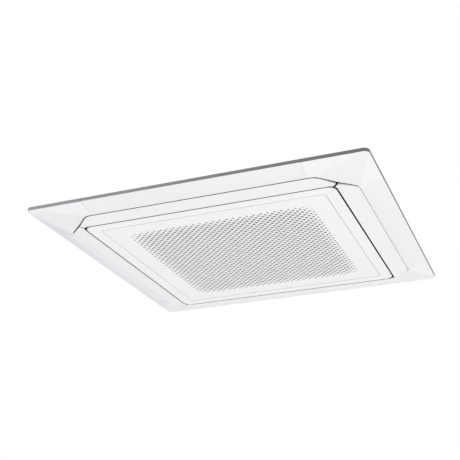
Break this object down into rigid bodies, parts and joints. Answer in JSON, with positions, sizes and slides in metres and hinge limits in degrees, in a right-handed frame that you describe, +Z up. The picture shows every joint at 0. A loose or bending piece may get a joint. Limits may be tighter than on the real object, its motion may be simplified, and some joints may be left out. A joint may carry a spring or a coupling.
{
  "type": "ceiling cassette air conditioner",
  "caption": "Square ceiling cassette air conditioner: perforated swing-down intake grille, swinging outlet vanes on each side, and a concealed cabinet with fan, coil and drain.",
  "frame": {"origin": "centre of the decoration panel in the plane of the ceiling", "axes": "+Z up into the ceiling void, -Y towards the grille's hinge side, +X to the right seen from the hinge side with +Z up"},
  "size_m": [0.95, 0.95, 0.2834],
  "materials": {
    "panel_white": "white moulded plastic, satin",
    "vane_white": "white moulded plastic, satin",
    "foam": "moulded expanded foam",
    "sheet_steel": "galvanised sheet, spangled",
    "dark_plastic": "dark moulded plastic",
    "fan_plastic": "grey moulded plastic",
    "fins": "closely spaced fins",
    "copper": null,
    "brass": "machined brass",
    "filter_plastic": "pale moulded plastic",
    "filter_net": "woven filter net"
  },
  "bodies": {
    "cassette": {"panel_frame": "panel_white", "corner_cover_1": "panel_white", "corner_cover_2": "panel_white", "corner_cover_3": "panel_white", "corner_cover_4": "panel_white", "vane_bearing_1": "dark_plastic", "vane_bearing_2": "dark_plastic", "vane_bearing_3": "dark_plastic", "vane_bearing_4": "dark_plastic", "vane_motor_1": "dark_plastic", "vane_motor_2": "dark_plastic", "vane_motor_3": "dark_plastic", "vane_motor_4": "dark_plastic", "latch_catch_left": "panel_white", "grille_hinge_left": "panel_white", "latch_catch_right": "panel_white", "grille_hinge_right": "panel_white", "fan_motor": "sheet_steel", "motor_mount": "sheet_steel", "bell_mouth": "fan_plastic", "heat_exchanger": "fins", "coil_end_1": "copper", "coil_end_2": "copper", "cabinet_shell": "sheet_steel", "top_plate": "sheet_steel", "insulation_liner": "foam", "drain_pan": "foam", "control_box": "sheet_steel", "control_box_cover": "sheet_steel", "hanger_bracket_1": "sheet_steel", "hanger_bracket_2": "sheet_steel", "hanger_bracket_3": "sheet_steel", "hanger_bracket_4": "sheet_steel", "outlet_gasket_1": "dark_plastic", "outlet_gasket_2": "dark_plastic", "outlet_gasket_3": "dark_plastic", "outlet_gasket_4": "dark_plastic", "gas_pipe": "copper", "liquid_pipe": "copper", "gas_flare_nut": "brass", "liquid_flare_nut": "brass", "pipe_cover": "sheet_steel", "drain_pump": "panel_white", "drain_pipe": "foam", "wiring_gland": "dark_plastic"},
    "vane_1": {"vane_1": "vane_white"},
    "vane_2": {"vane_2": "vane_white"},
    "vane_3": {"vane_3": "vane_white"},
    "vane_4": {"vane_4": "vane_white"},
    "grille": {"grille_frame": "panel_white", "grille_panel": "panel_white", "filter_frame": "filter_plastic", "filter_mesh": "filter_net"},
    "latch_left": {"grille_latch_left": "panel_white"},
    "latch_right": {"grille_latch_right": "panel_white"},
    "fan": {"turbo_fan": "fan_plastic", "motor_shaft": "sheet_steel", "fan_nut": "sheet_steel"}
  },
  "joints": [
    {"name": "vane_1_swing", "type": "hinge", "parent": "cassette", "child": "vane_1", "pos_m": [0, -0.392, -0.0195], "axis": [1, 0, 0], "range_deg": [0, 45]},
    {"name": "vane_2_swing", "type": "hinge", "parent": "cassette", "child": "vane_2", "pos_m": [0.392, 0, -0.0195], "axis": [0, 1, 0], "range_deg": [0, 45]},
    {"name": "vane_3_swing", "type": "hinge", "parent": "cassette", "child": "vane_3", "pos_m": [0, 0.392, -0.0195], "axis": [-1, 0, 0], "range_deg": [0, 45]},
    {"name": "vane_4_swing", "type": "hinge", "parent": "cassette", "child": "vane_4", "pos_m": [-0.392, 0, -0.0195], "axis": [0, -1, 0], "range_deg": [0, 45]},
    {"name": "grille_hinge", "type": "hinge", "parent": "cassette", "child": "grille", "pos_m": [0, -0.354, -0.027], "axis": [-1, 0, 0], "range_deg": [0, 90]},
    {"name": "latch_left_press", "type": "slide", "parent": "grille", "child": "latch_left", "axis": [0, 0, 1], "range_m": [0, 0.002], "stiffness_N_per_m": 300},
    {"name": "latch_right_press", "type": "slide", "parent": "grille", "child": "latch_right", "axis": [0, 0, 1], "range_m": [0, 0.002], "stiffness_N_per_m": 300},
    {"name": "fan_spin", "type": "hinge", "parent": "cassette", "child": "fan", "pos_m": [0, 0, 0.16], "axis": [0, 0, 1], "continuous": true}
  ]
}
